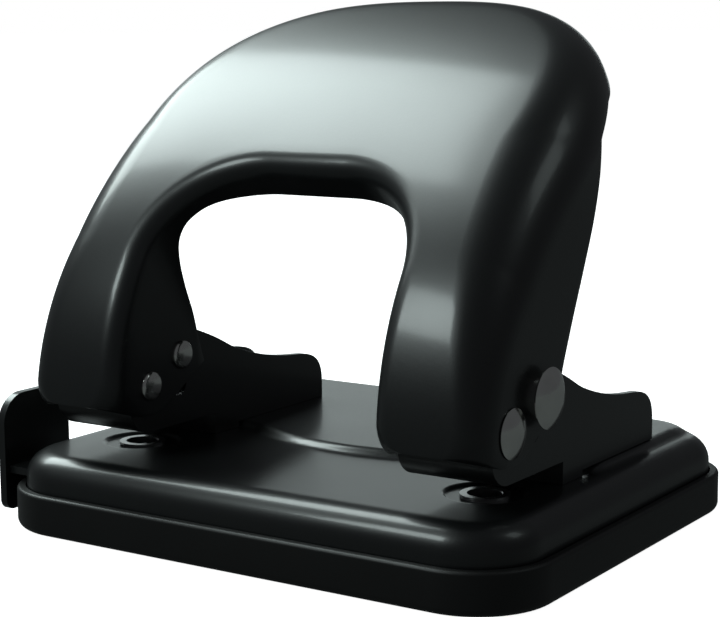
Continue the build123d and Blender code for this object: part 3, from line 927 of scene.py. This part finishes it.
coils = spring_tree()
for side in SIDES:
    node = "return_spring_" + side
    low, high = box(node)
    die = middle("die_bush_" + side)
    values = {
        "Radius": (high.x - low.x - SPRING_WIRE) / 2 * MM,
        "Wire": SPRING_WIRE / 2 * MM,
        "Height": (high.z - low.z - SPRING_WIRE - 2 * SPRING_GAP) * MM,
        "Turns": SPRING_TURNS,
    }
    foot = (die.x, die.y, low.z + SPRING_WIRE / 2 + SPRING_GAP)
    spring = coils.make("coil_spring_" + side, [foot], values, spring_wire_finish)
    stand_for(spring, node)
    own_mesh(spring)

RIVET_SHANK = 1.6
RIVET_HEAD = (3.0, 1.1)
RIVET_LENGTH = 5.0


def make_rivets():
    """The rivets that hold the brackets' feet, front pair and rear pair."""
    low, high = box("bracket_rivets")
    head, rise = RIVET_HEAD
    feet = [(low.y + head, low.z), (high.y - head, high.z - RIVET_LENGTH)]
    outline = [(0.0, 0.0), (head * 0.8, 0.0), (head, 0.35), (head, rise), (RIVET_SHANK, rise)]
    outline += [(RIVET_SHANK, RIVET_LENGTH - rise)] + dome(head, RIVET_LENGTH - rise, rise)
    rivet = turned("rivet_shape", outline, (0, 0, 0), (0, 0, 1), zinc, 40)
    points = [(middle("die_bush_" + side).x, y, z) for side in SIDES for y, z in feet]
    piece = rivet_tree().make("foot_rivets", points, {"Rivet": rivet}, zinc, 40)
    bpy.data.objects.remove(rivet)
    return stand_for(piece, "bracket_rivets")


make_rivets()

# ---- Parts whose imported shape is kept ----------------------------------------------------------
KEPT = {
    "chip_tray": (plastic, "tray_plastic", 0.0),
    "bracket_left": (enamel, "black_paint", 0.25),
    "bracket_right": (enamel, "black_paint", 0.25),
    "paper_guide": (enamel, "guide_paint", 0.25),
    "guide_channel": (zinc, "plated_steel", 0.15),
    "guide_spring": (spring_wire_finish, "spring_steel", 0.0),
    "guide_stop_rivet": (zinc, "plated_steel", 0.0),
    "die_bush_left": (ground_steel, "tool_steel", 0.0),
    "die_bush_right": (ground_steel, "tool_steel", 0.0),
    "guide_bush_left": (zinc, "plated_steel", 0.1),
    "guide_bush_right": (zinc, "plated_steel", 0.1),
    "punch_left": (ground_steel, "tool_steel", 0.1),
    "punch_right": (ground_steel, "tool_steel", 0.1),
    "spring_washer_left": (zinc, "plated_steel", 0.1),
    "spring_washer_right": (zinc, "plated_steel", 0.1),
}
for node, (finish, slot, bevel_mm) in KEPT.items():
    keep_shape(node, finish, bevel_mm)


# ---- Camera, light and floor -------------------------------------------------------------------
WHITE = (1, 1, 1, 1)
COOL = (0.87, 1.0, 0.985)
FLOOR_REACH = 20000
CAMERA_TURN = (33.56, 8.85, -0.4)  # azimuth, elevation and roll, in degrees
CAMERA_TARGET = (-2.58, 0.0, 41.84)
CAMERA_DISTANCE = 366.1
CAMERA_LENS = 91.1


def make_camera():
    """A long lens, a little above and to the right of the punch."""
    scene = bpy.context.scene
    camera = bpy.data.objects.new("camera", bpy.data.cameras.new("camera"))
    scene.collection.objects.link(camera)
    azimuth, elevation, roll = map(math.radians, CAMERA_TURN)
    level = math.cos(elevation)
    away = Vector((math.sin(azimuth) * level, -math.cos(azimuth) * level, math.sin(elevation)))
    target = Vector(CAMERA_TARGET) * MM
    camera.location = target + away * CAMERA_DISTANCE * MM
    facing = away.to_track_quat("Z", "Y").to_matrix() @ Matrix.Rotation(roll, 3, "Z")
    camera.rotation_euler = facing.to_euler()
    camera.data.lens = CAMERA_LENS
    camera.data.sensor_width = 36.0
    camera.data.clip_start = 0.01
    scene.camera = camera


def area_light(name, place, aim, size, watts):
    """A soft light panel, its place and aim in millimetres."""
    data = bpy.data.lights.new(name, "AREA")
    data.shape = "RECTANGLE"
    data.size, data.size_y = size[0] * MM, size[1] * MM
    data.energy = watts
    data.color = COOL
    light = bpy.data.objects.new(name, data)
    bpy.context.scene.collection.objects.link(light)
    light.location = Vector(place) * MM
    light.rotation_euler = (Vector(place) - Vector(aim)).to_track_quat("Z", "Y").to_euler()


def make_world():
    """White to the camera, and a dim studio to everything else."""
    world = bpy.data.worlds.new("studio")
    bpy.context.scene.world = world
    world.use_nodes = True
    world.node_tree.nodes.clear()
    sky = Nodes(world.node_tree)
    seen = sky.node("ShaderNodeBackground", {}, WHITE)
    around = sky.node("ShaderNodeBackground", {}, (0.9, 0.95, 1, 1), 0.07)
    to_camera = sky.node("ShaderNodeLightPath").outputs["Is Camera Ray"]
    mix = sky.node("ShaderNodeMixShader", {}, to_camera, around.outputs[0], seen.outputs[0])
    sky.node("ShaderNodeOutputWorld", {}, mix.outputs[0])
    bpy.context.scene.view_settings.view_transform = "Standard"


def make_floor():
    """A pale floor under the punch, and the dimmer sheet that polished parts see in its stead."""
    corners = [(-FLOOR_REACH, -FLOOR_REACH), (FLOOR_REACH, -FLOOR_REACH)]
    corners += [(FLOOR_REACH, FLOOR_REACH), (-FLOOR_REACH, FLOOR_REACH)]
    paint = Paint("floor_paint")
    paint.set(
        Base_Color=(0.8, 0.8, 0.8, 1),
        Roughness=0.9,
        Emission_Color=WHITE,
        Emission_Strength=0.96,
    )
    floor = make_piece("floor", [(x, y, 0) for x, y in corners], [(0, 1, 2, 3)], paint.material)
    floor.visible_glossy = False
    floor.visible_diffuse = False
    paint = Paint("dim_floor_paint")
    paint.set(Base_Color=(0, 0, 0, 1), Emission_Color=COOL + (1,), Emission_Strength=0.07)
    spots = [(x, y, -1) for x, y in corners]
    sheet = make_piece("dim_floor", spots, [(0, 1, 2, 3)], paint.material)
    sheet.visible_camera = False
    sheet.visible_diffuse = False
    sheet.visible_shadow = False


make_camera()
make_world()
make_floor()
area_light("key", (-455, 80, 535), (0, -10, 60), (330, 420), 4.5)
area_light("leg_card", (-78, -190, 172), (40, -40, 48), (70, 60), 0.16)
area_light("behind", (-430, 660, 150), (0, 0, 15), (620, 240), 0.42)
area_light("right_card", (323, 92, 354), (50, -30, 35), (130, 130), 0.075)
